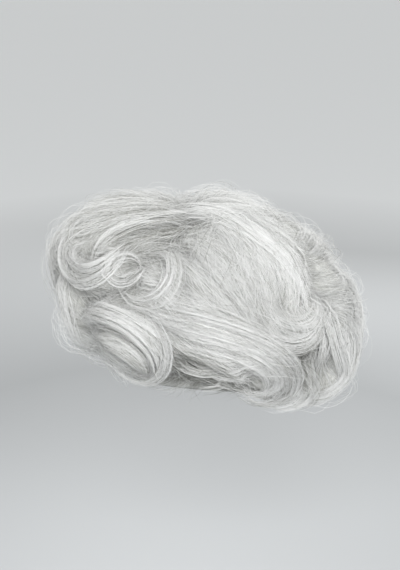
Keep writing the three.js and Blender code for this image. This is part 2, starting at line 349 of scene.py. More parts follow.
LEFT_ROLLS = locks((57, 31, 90, 50, 0, 0, 42, 13, -4, -4))
FRINGE_ROLLS = locks((12, 38, 90, 50, 0, 0, 40, 12, -4, -4))
FRINGE_LOCKS = locks(
    (27, 40, -52, 136, 250, 0, 17, 15, 6, 2),
    (37, 6, 130, 125, -95, 0, 23, 15, 6, 1),
    (32, 1, 136, 165, -115, -95, 23, 15, 6, 1),
    (39, -3, 128, 98, -125, -50, 21, 15, 5, 1),
    (2, 34, 20, 140, -70, 60, 34, 15, 5, 1),
    (344, 32, 10, 140, -60, 60, 34, 15, 5, 1),
    (18, 22, 40, 110, -60, 0, 30, 15, 5, 1),
    (6, 2, 40, 100, -110, -40, 30, 15, 4, 1),
    (336, 6, 10, 105, 60, 60, 30, 15, 4, 1),
    (322, 30, -30, 130, 60, 60, 30, 15, 5, 1),
    (324, 4, -105, 125, 105, 60, 30, 15, 6, 1),
)
RIGHT_LOCKS = tuple(lock.mirrored() for lock in LEFT_LOCKS)
RIGHT_ROLLS = tuple(lock.mirrored() for lock in LEFT_ROLLS)
BACK_ROLLS = locks(
    (184, 58, -5, 66, -30, 0, 36, 18, 13, 6),
    (166, 38, 10, 112, -52, 0, 36, 18, 12, 4),
    (204, 38, -12, 112, 55, 0, 36, 18, 11, 4),
)
BACK_LOCKS = locks(
    (182, 22, 25, 130, -90, -40, 34, 18, 6, 2),
    (226, 30, -5, 100, 50, 0, 32, 16, 5, 2),
    (155, 7, 50, 145, -120, -40, 34, 18, 7, 2),
    (206, 12, -30, 130, 110, 40, 34, 18, 7, 2),
    (180, 0, -15, 100, 80, 30, 32, 17, 5, 2),
)
NAPE_LOCKS = locks(
    (140, -14, 20, 70, -90, 0, 36, 16, 4, 1),
    (164, -16, 10, 80, -90, 0, 38, 16, 4, 1),
    (190, -15, -20, 85, 90, 0, 38, 16, 4, 1),
    (216, -14, 15, 70, 80, 0, 36, 16, 4, 1),
)


class MeshArrays:
    """Points, faces and point values gathered for one mesh."""

    def __init__(self) -> None:
        """Starts empty."""
        self.points: list[np.ndarray] = []
        self.quads: list[np.ndarray] = []
        self.triangles: list[np.ndarray] = []
        self.values: dict[str, list[np.ndarray]] = {}
        self.count = 0

    def add(
        self, points: np.ndarray, quads: np.ndarray, triangles: np.ndarray, **values: np.ndarray
    ) -> None:
        """Adds one set of points in millimetres, with faces that count from its own first point.

        Args:
            points: Points, one row each.
            quads: Four-cornered faces, one row each.
            triangles: Three-cornered faces, one row each.
            values: Named numbers or vectors, one for each point.
        """
        self.points.append(points * MM)
        self.quads.append(quads + self.count)
        self.triangles.append(triangles + self.count)
        for name, value in values.items():
            self.values.setdefault(name, []).append(value)
        self.count += len(points)

    def object(self, name: str) -> bpy.types.Object:
        """The mesh as an object at the origin, smooth all over.

        Args:
            name: What to call it.

        Returns:
            The object, in the scene.
        """
        points = np.concatenate(self.points)
        quads = np.concatenate(self.quads).astype(np.int32)
        triangles = np.concatenate(self.triangles).astype(np.int32)
        mesh = bpy.data.meshes.new(name)
        mesh.vertices.add(len(points))
        mesh.vertices.foreach_set("co", points.astype(np.float32).ravel())
        corners = np.concatenate([quads.ravel(), triangles.ravel()])
        mesh.loops.add(len(corners))
        mesh.loops.foreach_set("vertex_index", corners)
        starts = np.concatenate([np.arange(len(quads)) * 4, quads.size + np.arange(len(triangles)) * 3])
        mesh.polygons.add(len(starts))
        mesh.polygons.foreach_set("loop_start", starts.astype(np.int32))
        mesh.polygons.foreach_set("use_smooth", np.ones(len(starts), bool))
        mesh.update(calc_edges=True)
        for value_name, parts in self.values.items():
            value = np.concatenate(parts).astype(np.float32)
            kind, field = ("FLOAT", "value") if value.ndim == 1 else ("FLOAT_VECTOR", "vector")
            mesh.attributes.new(value_name, kind, "POINT").data.foreach_set(field, value.ravel())
        made = bpy.data.objects.new(name, mesh)
        bpy.context.scene.collection.objects.link(made)
        return made


def grid_quads(columns: int, rows: int, closed: bool) -> np.ndarray:
    """Faces of a grid whose points run up each column in turn.

    Args:
        columns: How many columns there are.
        rows: Points up each column.
        closed: Whether the last column joins the first.

    Returns:
        Four-cornered faces, one row each.
    """
    spans = columns if closed else columns - 1
    i, j = np.meshgrid(np.arange(spans), np.arange(rows - 1), indexing="ij")
    n = (i + 1) % columns
    corners = [i * rows + j, n * rows + j, n * rows + j + 1, i * rows + j + 1]
    return np.stack(corners, axis=-1).reshape(-1, 4)


def wall_quads(columns: int, rows: int, closed: bool, top_open: bool) -> np.ndarray:
    """Faces of a closed wall: an outer grid, an inner grid after it, and the edges between the two.

    Args:
        columns: Columns in each grid.
        rows: Points up each column.
        closed: Whether the last column joins the first.
        top_open: Whether the top row needs an edge; a wall that runs to a pole needs none.

    Returns:
        Four-cornered faces that look outwards.
    """
    size = columns * rows
    outer = grid_quads(columns, rows, closed)
    inner = outer[:, ::-1] + size
    i = np.arange(columns if closed else columns - 1)
    n = (i + 1) % columns
    faces = [outer, inner, np.stack([i * rows + size, n * rows + size, n * rows, i * rows], axis=-1)]
    if top_open:
        a, b = i * rows + rows - 1, n * rows + rows - 1
        faces.append(np.stack([a, b, b + size, a + size], axis=-1))
    if not closed:
        j = np.arange(rows - 1)
        end = (columns - 1) * rows
        faces.append(np.stack([j + size, j, j + 1, j + 1 + size], axis=-1))
        faces.append(np.stack([end + j, end + j + size, end + j + 1 + size, end + j + 1], axis=-1))
    return np.concatenate(faces)


NO_TRIANGLES = np.zeros((0, 3), int)


def welded(piece: bpy.types.Object) -> bpy.types.Object:
    """Joins a piece's points that lie in one place, so that a pole is closed.

    Args:
        piece: The piece, which is changed.

    Returns:
        The same piece.
    """
    body = bmesh.new()
    body.from_mesh(piece.data)
    bmesh.ops.remove_doubles(body, verts=body.verts, dist=WELD)
    body.to_mesh(piece.data)
    body.free()
    return piece


class Nodes:
    """Short ways to add and join shader nodes in one tree."""

    def __init__(self, tree: bpy.types.NodeTree) -> None:
        """Works in one node tree."""
        self.tree = tree

    def put(self, socket: bpy.types.NodeSocket, value: Input) -> None:
        """Joins an input socket to another socket, or sets it to a plain value.

        Args:
            socket: The input socket.
            value: What goes into it.
        """
        if isinstance(value, bpy.types.NodeSocket):
            self.tree.links.new(value, socket)
        else:
            socket.default_value = value

    def feed(self, node: bpy.types.Node, **inputs: Input) -> None:
        """Puts values or sockets into a node's inputs by name, with _ for a space."""
        for name, value in inputs.items():
            self.put(node.inputs[name.replace("_", " ")], value)

    def add(self, kind: str, settings: dict[str, object] | None = None, **inputs: Input) -> bpy.types.Node:
        """Adds a node.

        Args:
            kind: The node's type name without ShaderNode.
            settings: Properties of the node itself.
            inputs: Values or sockets by input name, with _ for a space.

        Returns:
            The new node.
        """
        node = self.tree.nodes.new("ShaderNode" + kind)
        for name, value in (settings or {}).items():
            setattr(node, name, value)
        self.feed(node, **inputs)
        return node

    def math(self, operation: str, a: Input, b: Input) -> bpy.types.NodeSocket:
        """One arithmetic operation on two values.

        Args:
            operation: The operation's name.
            a: The first value or socket.
            b: The second value or socket.

        Returns:
            The socket with the result.
        """
        node = self.add("Math", {"operation": operation})
        for socket, value in zip(node.inputs, (a, b)):
            self.put(socket, value)
        return node.outputs[0]

    def ramp(self, value: bpy.types.NodeSocket, *stops: tuple[float, Colour]) -> bpy.types.NodeSocket:
        """A colour for a value, read between stops.

        Args:
            value: What picks the colour.
            stops: Places and their colours, in rising order.

        Returns:
            The socket with the colour.
        """
        node = self.add("ValToRGB", Fac=value)
        elements = node.color_ramp.elements
        middle = 0.5
        while len(elements) < len(stops):
            elements.new(middle)
        for element, (place, colour) in zip(elements, stops):
            element.position = place
            element.color = (*colour, 1)
        return node.outputs["Color"]

    def attribute(self, name: str, output: str) -> bpy.types.NodeSocket:
        """A value that the mesh carries."""
        return self.add("Attribute", {"attribute_name": name}).outputs[output]

    def multiply(self, a: bpy.types.NodeSocket, b: bpy.types.NodeSocket) -> bpy.types.NodeSocket:
        """Two colours multiplied.

        Args:
            a: The socket with the first colour.
            b: The socket with the second colour.

        Returns:
            The socket with the product.
        """
        node = self.add("Mix", {"data_type": "RGBA", "blend_type": "MULTIPLY"}, Factor=1.0)
        colours = [socket for socket in node.inputs if socket.type == "RGBA"]
        for socket, colour in zip(colours, (a, b)):
            self.put(socket, colour)
        return next(socket for socket in node.outputs if socket.type == "RGBA")

    def group(self, tree: bpy.types.NodeTree, **inputs: Input) -> bpy.types.Node:
        """A node group placed here with its inputs filled."""
        return self.add("Group", {"node_tree": tree}, **inputs)


def new_material(name: str) -> tuple[bpy.types.Material, Nodes, bpy.types.Node]:
    """A new material with a surface shader joined to its output.

    Args:
        name: What to call it.

    Returns:
        The material, its nodes and its shader.
    """
    material = bpy.data.materials.new(name)
    material.use_nodes = True
    nodes = Nodes(material.node_tree)
    return material, nodes, material.node_tree.nodes["Principled BSDF"]


@dataclass(frozen=True)
class SilverTone:
    """The tones of the hair from dark to white, as a node group that the strands and the mass share."""

    # The dark and grey tones lean warm: a painted reflection of warm light bounced into the shaded hair.
    dark: Colour = (0.17, 0.168, 0.137)
    grey: Colour = (0.46, 0.463, 0.438)
    silver: Colour = (0.8, 0.808, 0.795)
    white: Colour = (0.95, 0.955, 0.95)
    grey_place: float = 0.3
    silver_place: float = 0.6
    patch_scale: float = 26.0
    patch_detail: float = 2.0
    patch_depth: float = 0.16
    # How dark the painted shadow gets at its deepest.
    deepest_painted_shadow: float = 0.38

    def group(self) -> bpy.types.NodeTree:
        """Shade picks the tone, soft noise patches shift it, and Shadow dims it as painted shadow.

        Returns:
            A group with the inputs Shade and Shadow and the output Colour.
        """
        tree = bpy.data.node_groups.new("silver_tone", "ShaderNodeTree")
        for name in ("Shade", "Shadow"):
            tree.interface.new_socket(name, in_out="INPUT", socket_type="NodeSocketFloat")
        tree.interface.new_socket("Colour", in_out="OUTPUT", socket_type="NodeSocketColor")
        nodes = Nodes(tree)
        given = tree.nodes.new("NodeGroupInput")
        place = nodes.add("TexCoord").outputs["Object"]
        noise = nodes.add("TexNoise", Vector=place, Scale=self.patch_scale, Detail=self.patch_detail)
        shift = nodes.math("SUBTRACT", noise.outputs["Fac"], NOISE_MEAN)
        patch = nodes.math("MULTIPLY", shift, self.patch_depth)
        shade = nodes.math("ADD", given.outputs["Shade"], patch)
        tone = nodes.ramp(
            shade,
            (0.0, self.dark),
            (self.grey_place, self.grey),
            (self.silver_place, self.silver),
            (1.0, self.white),
        )
        # Painted shadow: the Shadow input dims the tone towards the deepest painted shadow.
        dim = nodes.ramp(given.outputs["Shadow"], (0.0, WHITE), (1.0, (self.deepest_painted_shadow,) * 3))
        nodes.put(tree.nodes.new("NodeGroupOutput").inputs["Colour"], nodes.multiply(tone, dim))
        return tree


@dataclass(frozen=True)
class StrandFinish:
    """Silver hair fibre: mostly silver-white with some grey and a few dark strands, with painted shadow at
    the root.
    """

    # Painted shadow near each strand's root, fading out by root_end along it.
    root_shadow: float = 0.42
    root_end: float = 0.35
    roughness: float = 0.42
    specular: float = 0.45
    sheen: float = 0.25

    def material(self, tone: bpy.types.NodeTree) -> bpy.types.Material:
        """Each strand's shade gives its tone, with a painted shadow that fades out from its root.

        Args:
            tone: The group of hair tones.

        Returns:
            The material.
        """
        material, nodes, shader = new_material("silver_strands")
        along = nodes.attribute("along", "Fac")
        root = nodes.add(
            "MapRange", Value=along, From_Max=self.root_end, To_Min=self.root_shadow, To_Max=0.0
        )
        toned = nodes.group(tone, Shade=nodes.attribute("shade", "Fac"), Shadow=root.outputs["Result"])
        nodes.feed(
            shader,
            Base_Color=toned.outputs["Colour"],
            Roughness=self.roughness,
            Specular_IOR_Level=self.specular,
            Sheen_Weight=self.sheen,
        )
        return material


@dataclass(frozen=True)
class MassFinish:
    """The hair under the outer strands: combed streaks in greys darker than the strands as painted shade of
    the hair below, with fine ridges along them.
    """

    # The tones stay below the strands' own as painted shade of the hair under them.
    tone_low: float = 0.22
    tone_high: float = 0.55
    noise_low: float = 0.3
    noise_high: float = 0.7
    across_scale: float = 0.5
    along_scale: float = 0.02
    streak_detail: float = 4.0
    streak_roughness: float = 0.7
    ridge: float = 0.9
    ridge_height: float = 0.001
    roughness: float = 0.6

    def material(self, tone: bpy.types.NodeTree) -> bpy.types.Material:
        """Noise stretched along the comb of the hair gives both the streaks' tone and their ridges.

        Args:
            tone: The group of hair tones.

        Returns:
            The material.
        """
        material, nodes, shader = new_material("combed_hair")
        comb = nodes.attribute("comb", "Vector")
        scale = (self.along_scale, self.across_scale, 1.0)
        mapped = nodes.add("Mapping", Vector=comb, Scale=scale).outputs["Vector"]
        streaks = nodes.add(
            "TexNoise", Vector=mapped, Scale=1.0, Detail=self.streak_detail, Roughness=self.streak_roughness
        )
        noise = streaks.outputs["Fac"]
        shade = nodes.add(
            "MapRange",
            Value=noise,
            From_Min=self.noise_low,
            From_Max=self.noise_high,
            To_Min=self.tone_low,
            To_Max=self.tone_high,
        )
        # The sunk attribute feeds the painted shade of hollows and of the inner wall.
        toned = nodes.group(tone, Shade=shade.outputs["Result"], Shadow=nodes.attribute("sunk", "Fac"))
        bump = nodes.add("Bump", Strength=self.ridge, Distance=self.ridge_height, Height=noise)
        nodes.feed(
            shader,
            Base_Color=toned.outputs["Colour"],
            Roughness=self.roughness,
            Normal=bump.outputs["Normal"],
        )
        return material


@dataclass(frozen=True)
class NetFinish:
    """A knitted net cap: crossing threads over a darker ground."""

    ground: Colour = (0.2, 0.19, 0.17)
    thread: Colour = (0.56, 0.54, 0.49)
    ground_end: float = 0.35
    thread_start: float = 0.85
    threads_per_metre: float = 300.0
    slants: tuple[float, float] = (45.0, -45.0)
    ridge: float = 0.7
    ridge_height: float = 0.0008
    roughness: float = 0.85

    WAVE_STEP = 20.0  # how far a wave at scale 1 turns in a metre, in radians

    def material(self) -> bpy.types.Material:
        """Two waves that cross at a slant on the cap's own UV map make the threads and their ridges.

        Returns:
            The material.
        """
        material, nodes, shader = new_material("cap_net")
        place = nodes.add("UVMap", {"uv_map": "net"}).outputs["UV"]
        scale = math.tau * self.threads_per_metre / self.WAVE_STEP
        threads = []
        for slant in self.slants:
            rotation = (0, 0, math.radians(slant))
            across = nodes.add("Mapping", Vector=place, Rotation=rotation).outputs["Vector"]
            threads.append(nodes.add("TexWave", Vector=across, Scale=scale).outputs["Fac"])
        height = nodes.math("MAXIMUM", *threads)
        bump = nodes.add("Bump", Strength=self.ridge, Distance=self.ridge_height, Height=height)
        nodes.feed(
            shader,
            Base_Color=nodes.ramp(height, (self.ground_end, self.ground), (self.thread_start, self.thread)),
            Roughness=self.roughness,
            Normal=bump.outputs["Normal"],
        )
        return material


class ReliefMap:
    """The height of the locks over the outline and the way the hair flows, on a grid of directions.

    The height is the highest dome of the locks: a lock's top times the root of one minus the squared place
    across it, over the backing. The flow is the mean of the locks' headings near a point, each weighted by a
    bell curve of its distance.
    """

    STEP = 2.0
    LOWEST = -70.0
    BACKING_DEPTH = 13.0
    FLOW_REACH = 0.07
    ACCENT_PULL = 2.0
    LEAST_FLOW = 1e-30
    LOCK_SAMPLES = 49
    COMB_SHIFT = 7.0  # keeps the streaks of one lock apart from another's
    LAST_LEVEL = 1.001  # counted from the top, so that a row is left above every place

    def __init__(self, guides: list[LockGuide], rolls: list[LockGuide], accents: list[LockGuide]) -> None:
        """Works out the map.

        Args:
            guides: The lines of the locks, which give both height and flow.
            rolls: The lines of the rolls under other hair, which only give height.
            accents: The lines of the bright wisps, which only steer the flow.
        """
        self.columns = round(360 / self.STEP)
        self.rows = round((90 - self.LOWEST) / self.STEP) + 1
        azimuth = np.arange(self.columns) * self.STEP
        elevation = self.LOWEST + np.arange(self.rows) * self.STEP
        grid = direction(*np.meshgrid(azimuth, elevation, indexing="ij")).reshape(-1, 3)
        share = np.linspace(0, 1, self.LOCK_SAMPLES)
        self.height = np.full(len(grid), -self.BACKING_DEPTH)
        nearest_place = np.full(len(grid), np.inf)
        self.comb = np.zeros((len(grid), 3))
        flow = np.zeros((len(grid), 3))
        for number, guide in enumerate(guides + rolls):
            out, side = guide.at(share)
            closeness = grid @ out.T
            nearest = np.argmax(closeness, axis=1)
            radius = OUTLINE.radius(out[nearest])
            across = ((grid - out[nearest]) * side[nearest]).sum(-1) * radius
            distance = np.linalg.norm(grid - out[nearest], axis=1) * radius
            full = guide.fullness(share[nearest])
            place = np.maximum(np.abs(across), distance) / (0.5 * guide.lock.width * full)
            top = guide.rise(share[nearest]) + 0.5 * guide.lock.depth * full
            dome = np.sqrt(np.clip(1 - place**2, 0, 1))
            self.height = np.maximum(self.height, -self.BACKING_DEPTH + (top + self.BACKING_DEPTH) * dome)
            closer = place < nearest_place
            nearest_place = np.where(closer, place, nearest_place)
            shift = np.full(len(grid), self.COMB_SHIFT * number)
            here = np.stack([share[nearest] * guide.lock.length, across, shift], 1)
            self.comb = np.where(closer[:, None], here, self.comb)
        for guide in guides:
            flow += self.pull(guide, grid)
        for guide in accents:
            flow += self.pull(guide, grid) * self.ACCENT_PULL
        flow -= grid * (flow * grid).sum(-1, keepdims=True)
        self.flow = flow / np.maximum(np.linalg.norm(flow, axis=1, keepdims=True), self.LEAST_FLOW)

    def pull(self, guide: LockGuide, grid: np.ndarray) -> np.ndarray:
        """A lock's headings, each weighted by the lock's width and a bell curve of its distance.

        Args:
            guide: The line of the lock.
            grid: Unit directions, one row each.

        Returns:
            The sum of the weighted headings at each direction.
        """
        out, side = guide.at(np.linspace(0, 1, self.LOCK_SAMPLES))
        weight = np.exp((grid @ out.T - 1) / (0.5 * self.FLOW_REACH**2)) * guide.lock.width
        return weight @ np.cross(out, side)

    def read(self, values: np.ndarray, directions: np.ndarray) -> np.ndarray:
        """Reads the grid at directions, evenly between the four values around each.

        Args:
            values: A number or a vector for each direction of the grid.
            directions: Unit directions, in the last axis.

        Returns:
            One value for each direction.
        """
        azimuth, elevation = azimuth_elevation(directions)
        place = azimuth / self.STEP
        level = np.clip((elevation - self.LOWEST) / self.STEP, 0, self.rows - self.LAST_LEVEL)
        i, j = np.floor(place).astype(int), np.floor(level).astype(int)
        s, t = place - i, level - j
        if values.ndim > 1:
            s, t = s[..., None], t[..., None]
        left, right = i % self.columns * self.rows + j, (i + 1) % self.columns * self.rows + j
        low = values[left] * (1 - s) + values[right] * s
        high = values[left + 1] * (1 - s) + values[right + 1] * s
        return low * (1 - t) + high * t


class Fall(Enum):
    """How a strand lies."""

    LOCKED = "along its lock"
    ACCENT = "in a bright wisp on top"
    FLOWING = "with the flow of the locks round it"
    CROSSING = "at a slant to the flow"
    STRAY = "loose over the others"


@dataclass(frozen=True)
class StrandStyle:
    """How the strands of one fall lie, in millimetres, degrees and shares."""

    strands_in_wisp: int
    segments: int
    length: tuple[float, float]
    layer: tuple[float, float]
    slant: float
    turning: float
    arch: tuple[float, float]
    radius: tuple[float, float]
    shade: float


STYLES = {
    Fall.LOCKED: StrandStyle(2, 8, (0.75, 1.1), (0.5, 1.0), 0.0, 0.0, (0, 0), (0.12, 0.21), 0.76),
    Fall.ACCENT: StrandStyle(2, 8, (0.8, 1.08), (0.6, 1.05), 0.0, 0.0, (0, 0), (0.12, 0.2), 0.85),
    Fall.FLOWING: StrandStyle(2, 5, (40, 88), (-3.4, 0.8), 13.0, 30.0, (0, 1.5), (0.11, 0.21), 0.76),
    Fall.CROSSING: StrandStyle(2, 5, (35, 75), (-2.5, 1.2), 30.0, 70.0, (0, 2.5), (0.1, 0.18), 0.76),
    Fall.STRAY: StrandStyle(1, 10, (40, 110), (-2.0, 1.0), 30.0, 110.0, (3.0, 16.0), (0.1, 0.16), 0.72),
}


@dataclass(frozen=True)
class Paths:
    """Strands as rows of points: their points, the directions out of the hair, radii, shades and places."""

    points: np.ndarray
    out: np.ndarray
    radius: np.ndarray
    shade: np.ndarray
    along: np.ndarray


@dataclass(frozen=True)
class GreyAndShadePatch:
    """A place where the hair is darker, partly greyer hair and partly painted shade: its middle, how far it
    reaches, and the shade that is lost there.
    """

    azimuth: float
    elevation: float
    reach: float
    loss: float

    def dimming(self, directions: np.ndarray) -> np.ndarray:
        """The shade lost at unit directions: a bell curve of their distance from the middle."""
        middle = direction(np.array(self.azimuth), np.array(self.elevation))
        return self.loss * np.exp((directions @ middle - 1) / self.reach)


# (91, -11) paints the shade under the side's lower edge and (138, -12) the shadow in the gap behind the C
# curl; the others darken greyer hair, in part as painted shade.
GREY_AND_SHADE_PATCHES = (
    GreyAndShadePatch(36, 48, 0.12, 0.23),
    GreyAndShadePatch(59, -5, 0.025, 0.22),
    GreyAndShadePatch(91, -11, 0.03, 0.4),
    GreyAndShadePatch(160, 26, 0.03, 0.2),
    GreyAndShadePatch(138, -12, 0.012, 0.6),
)


class StrandComb:
    """Makes strands as thin three-sided tubes that taper to their tips.

    Heights are in millimetres and angles in degrees. A spread is the size of a strand's own random part.
    """

    # The thickness of a strand
    SIDES = 3
    ROOT_THICKNESS = 0.5
    ROOT_GROWTH = 4.0
    TIP_THICKNESS = 0.08

    # The shade of a strand, and the painted shade of strands that lie deep
    WISP_SHADES = 0.1
    STRAND_SHADES = 0.12
    DARK_SHARE = 0.05
    DARK_SHADES = (0.05, 0.45)
    DARKEST = 0.03
    SHADE_DEPTHS = (9.0, 20.0)
    DEPTH_SHADE_LOSS = 0.5

    # The height of a strand
    ROOT_DIP = 7.0
    ROOT_SHARE = 0.2
    TIP_DIP = 2.2
    TIP_SHARE = 0.3
    UNDERSIDE = 3.0
    BOX_ROOM = 8.0

    # The strands of a lock
    LEAST_WISPS = 3
    BEND = 20.0
    ACROSS = 1.05
    WISP_WIDTH = 0.09
    LAYER_SPREAD = 0.1
    START = 0.4
    START_SPREAD = 0.08
    END_SPREAD = 0.05
    SWAY = 0.06
    SWAY_WAVES = (0.5, 1.6)
    ROOT_SWAY = 0.3
    HEIGHT_SWAY = 0.6
    CLOSING = 0.5
    DOME_REACH = 1.3
    TIP_SPREAD = 1.4

    # The strands between the locks
    FOLLOW = 0.45
    EDGE_ROOM = 6.0
    HANG = 6.0
    SEED_SPREAD = 0.014
    SLANT_SPREAD = 4.0
    TURN_SPREAD = 5.0
    LENGTHS = (0.8, 1.1)
    HEIGHT_SPREAD = 0.8
    ARCHES = (0.7, 1.2)

    def __init__(self, seed: int, relief: ReliefMap) -> None:
        """Starts a repeatable row of random draws over the relief of the locks."""
        self.rng = np.random.default_rng(seed)
        self.relief = relief

    def finish(self, out: np.ndarray, height: np.ndarray, wisp: np.ndarray, style: StrandStyle) -> Paths:
        """Gives strands tapered radii and a shade that each wisp shares in part, lowered in grey patches and
        by painted shade where they lie deep.

        Args:
            out: The directions of each strand's points from the hair's centre.
            height: The heights of each strand's points over the outline.
            wisp: The number of each strand's wisp.
            style: How the strands lie.

        Returns:
            The strands.
        """
        rng = self.rng
        count, rows = height.shape
        along = np.linspace(0, 1, rows)[None, :]
        radius = rng.uniform(*style.radius, count)[:, None]
        root = np.minimum(1, self.ROOT_THICKNESS + self.ROOT_GROWTH * along)
        taper = root * np.sqrt(np.clip(1 - along**3, 0, 1)) + self.TIP_THICKNESS
        shade = rng.normal(style.shade, self.WISP_SHADES, wisp.max() + 1)[wisp]
        shade = shade + rng.normal(0, self.STRAND_SHADES, count)
        dark = rng.uniform(0, 1, count) < self.DARK_SHARE
        shade = np.where(dark, rng.uniform(*self.DARK_SHADES, count), shade)
        # Patches of greyer hair and painted shade.
        for patch in GREY_AND_SHADE_PATCHES:
            shade = shade - patch.dimming(out[:, rows // 2])
        # Painted shade: strands that lie deep in a hollow or under the edge are darkened.
        shade = shade - self.DEPTH_SHADE_LOSS * ease(-height[:, rows // 2], *self.SHADE_DEPTHS)
        points = self.kept_in(OUTLINE.points(out, height))
        shade = np.clip(shade, self.DARKEST, 1)
        return Paths(points, out, radius * taper, shade, np.broadcast_to(along, height.shape))

    def kept_in(self, points: np.ndarray) -> np.ndarray:
        """Keeps points within a small room round the frame's box: a tanh flattens their distance past it.

        Args:
            points: Points in millimetres, in the last axis.

        Returns:
            The points, moved in where they were past the box.
        """
        low, high = (np.array(corner) / MM for corner in CAD_BOX)
        past = np.maximum(points - high, 0) - np.maximum(low - points, 0)
        return points - past + self.BOX_ROOM * np.tanh(past / self.BOX_ROOM)

    def locked(self, guide: LockGuide, count: int, fall: Fall) -> Paths:
        """Strands along a lock.

        A strand keeps a place across the lock, times the lock's fullness, and a height on the dome over it.
        It stays near its wisp's line, which sways by a sine, and it closes on that line towards the tip.

        Args:
            guide: The lock's line.
            count: How many strands.
            fall: Which style they follow.

        Returns:
            The strands.
        """
        rng, lock, style = self.rng, guide.lock, STYLES[fall]
        wisps = max(self.LEAST_WISPS, count // style.strands_in_wisp)
        wisp = rng.integers(0, wisps, count)
        centre = rng.uniform(-self.ACROSS, self.ACROSS, wisps)[wisp]
        own = rng.normal(0, self.WISP_WIDTH, count)
        layer = rng.uniform(*style.layer, wisps)[wisp] + rng.normal(0, self.LAYER_SPREAD, count)
        start = rng.uniform(0, self.START, wisps)[wisp] + rng.uniform(0, self.START_SPREAD, count)
        end = rng.uniform(*style.length, wisps)[wisp] + rng.normal(0, self.END_SPREAD, count)
        end = np.minimum(end, LockGuide.REACH)
        segments = max(style.segments, round(lock.turn() / self.BEND))
        along = np.linspace(0, 1, segments + 1)[None, :]
        share = start[:, None] + (end - start)[:, None] * along
        phase = rng.uniform(0, 2 * np.pi, (2, wisps))[:, wisp, None]
        sway = rng.normal(0, self.SWAY, (2, wisps))[:, wisp, None] * lock.width
        rate = rng.uniform(*self.SWAY_WAVES, (2, wisps))[:, wisp, None]
        growth = self.ROOT_SWAY + (1 - self.ROOT_SWAY) * share
        wave = sway * np.sin(2 * np.pi * rate * share + phase) * growth
        place = centre[:, None] + own[:, None] * (1 - self.CLOSING * np.clip(share, 0, 1) ** 2)
        full = guide.fullness(share)
        across = 0.5 * lock.width * full * place + wave[0]
        dome = np.sqrt(np.clip(1 - (place / self.DOME_REACH) ** 2, 0, 1))
        height = guide.rise(share) + 0.5 * lock.depth * full * dome * layer[:, None]
        height = height + self.HEIGHT_SWAY * wave[1]
        height = height - self.ROOT_DIP * (1 - ease(along, 0, self.ROOT_SHARE))
        height = height + rng.normal(0, self.TIP_SPREAD, count)[:, None] * along**3
        out, side = guide.at(share)
        out = unit(out * OUTLINE.radius(out)[..., None] + side * across[..., None])
        return self.finish(out, height, wisp, style)

    def slanted(self, out: np.ndarray, slant: np.ndarray) -> np.ndarray:
        """The flow at unit directions, turned by each strand's slant in radians."""
        return turned(self.relief.read(self.relief.flow, out), out, slant)

    def flowing(self, section: "HairSection", count: int, fall: Fall) -> Paths:
        """Strands through points all over a section, with the flow but each at its own slant and turning.

        A strand's root is found by going back against the flow for half its length. Then at each step the
        heading leans towards the flow, turned by the strand's slant, and turns by the strand's own rate.
        Past the wig's lower edge the strand hooks under, down to the height of the cap.

        Args:
            section: The section that the strands go through.
            count: How many strands.
            fall: Which style they follow.

        Returns:
            The strands.
        """
        rng, style = self.rng, STYLES[fall]
        wisps = max(1, count // style.strands_in_wisp)
        wisp = rng.integers(0, wisps, count)
        out = unit(section.seeds(rng, wisps)[wisp] + rng.normal(0, self.SEED_SPREAD, (count, 3)))
        slant = rng.normal(0, style.slant, wisps)[wisp] + rng.normal(0, self.SLANT_SPREAD, count)
        slant = np.radians(slant)
        turning = rng.normal(0, style.turning, wisps)[wisp] + rng.normal(0, self.TURN_SPREAD, count)
        turning = np.radians(turning)
        length = rng.uniform(*style.length, wisps)[wisp] * rng.uniform(*self.LENGTHS, count)
        layer = rng.uniform(*style.layer, wisps)[wisp] + rng.normal(0, self.HEIGHT_SPREAD, count)
        arch = rng.uniform(*style.arch, wisps)[wisp] * rng.uniform(*self.ARCHES, count)
        hang = rng.uniform(0, self.HANG, wisps)[wisp]
        step = length / style.segments
        for _ in range(style.segments // 2):
            out = moved(out, -self.slanted(out, slant), step)
        heading = self.slanted(out, slant)
        line, height = [], []
        for k in range(style.segments + 1):
            line.append(out)
            share = k / style.segments
            dip = self.ROOT_DIP * (1 - ease(np.array(share), 0, self.ROOT_SHARE))
            dip = dip + self.TIP_DIP * ease(np.array(share), 1 - self.TIP_SHARE, 1)
            top = self.relief.read(self.relief.height, out) + layer + arch * math.sin(math.pi * share) - dip
            hook, cap, room = section.underside(out, hang)
            height.append(top * (1 - hook) + (cap + self.UNDERSIDE) * hook)
            leaning = heading * (1 - self.FOLLOW) + self.slanted(out, slant) * self.FOLLOW
            heading = turned(leaning, out, turning * step / length)
            level = 1 - ease(room, 0, self.EDGE_ROOM)
            heading[:, 2] -= np.minimum(heading[:, 2], 0) * level
            heading = unit(heading - out * (heading * out).sum(-1, keepdims=True))
            out = moved(out, heading, step)
        return self.finish(np.stack(line, 1), np.stack(height, 1), wisp, style)

